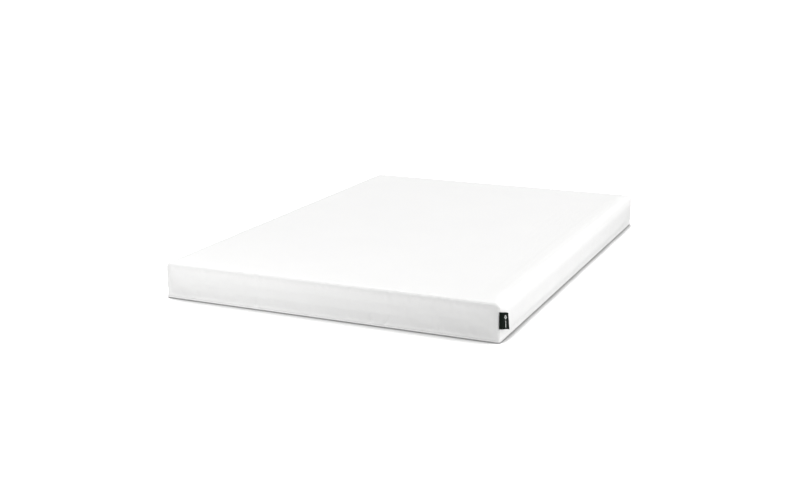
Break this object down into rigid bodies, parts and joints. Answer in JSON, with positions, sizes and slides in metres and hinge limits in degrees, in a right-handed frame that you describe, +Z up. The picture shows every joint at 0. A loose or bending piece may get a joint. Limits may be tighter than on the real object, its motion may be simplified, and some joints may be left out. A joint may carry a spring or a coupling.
{
  "type": "memory foam mattress",
  "caption": "Double memory foam mattress in a white knitted cover, with a foam core in a fire sock and a zip low on the head end.",
  "frame": {"origin": "middle of the base, on the surface the mattress lies on", "axes": "+X across the 1400 mm width, +Y along the 2000 mm length from the foot end to the head end, +Z up through the 150 mm thickness"},
  "size_m": [1.4148, 2.008, 0.15],
  "materials": {
    "white_knit": "matte knitted",
    "grey_white_knit": "matte knitted",
    "base_cloth": "matte with small grip dots",
    "seam_thread": "spun thread",
    "zip_tape": "woven tape",
    "zip_coil": "nylon monofilament",
    "zip_metal": "nickel plated",
    "label_black": "woven satin",
    "label_white": "woven satin",
    "sock_knit": "plain ribbed knit",
    "memory_foam": "open-cell foam",
    "support_foam": "open-cell foam"
  },
  "bodies": {
    "mattress": {"top_wrap_panel": "white_knit", "foot_end_panel": "grey_white_knit", "head_end_panel": "grey_white_knit", "base_panel": "base_cloth", "foot_seam_thread": "seam_thread", "head_seam_thread": "seam_thread", "base_seam_thread_left": "seam_thread", "base_seam_thread_right": "seam_thread", "side_label": "label_black", "care_label": "label_white", "zip_tape_upper": "zip_tape", "zip_tape_lower": "zip_tape", "zip_coil_upper": "zip_coil", "zip_coil_lower": "zip_coil", "zip_stitch_upper": "seam_thread", "zip_stitch_lower": "seam_thread", "zip_top_stop_upper": "zip_metal", "zip_top_stop_lower": "zip_metal", "zip_bottom_stop": "zip_metal", "memory_foam_layer": "memory_foam", "support_foam_layer": "support_foam", "fire_sock": "sock_knit", "fire_sock_end_flap": "sock_knit", "fire_sock_closure_thread": "seam_thread"},
    "slider": {"zip_slider": "zip_metal"},
    "pull_tab": {"zip_pull_tab": "zip_metal"}
  },
  "joints": [
    {"name": "zip_slide", "type": "slide", "parent": "mattress", "child": "slider", "axis": [1, 0, 0], "range_m": [0, 1.276]},
    {"name": "pull_swing", "type": "hinge", "parent": "slider", "child": "pull_tab", "pos_m": [-0.637, 1.0029, 0.026], "axis": [0, 0, 1], "range_deg": [0, 175]}
  ]
}
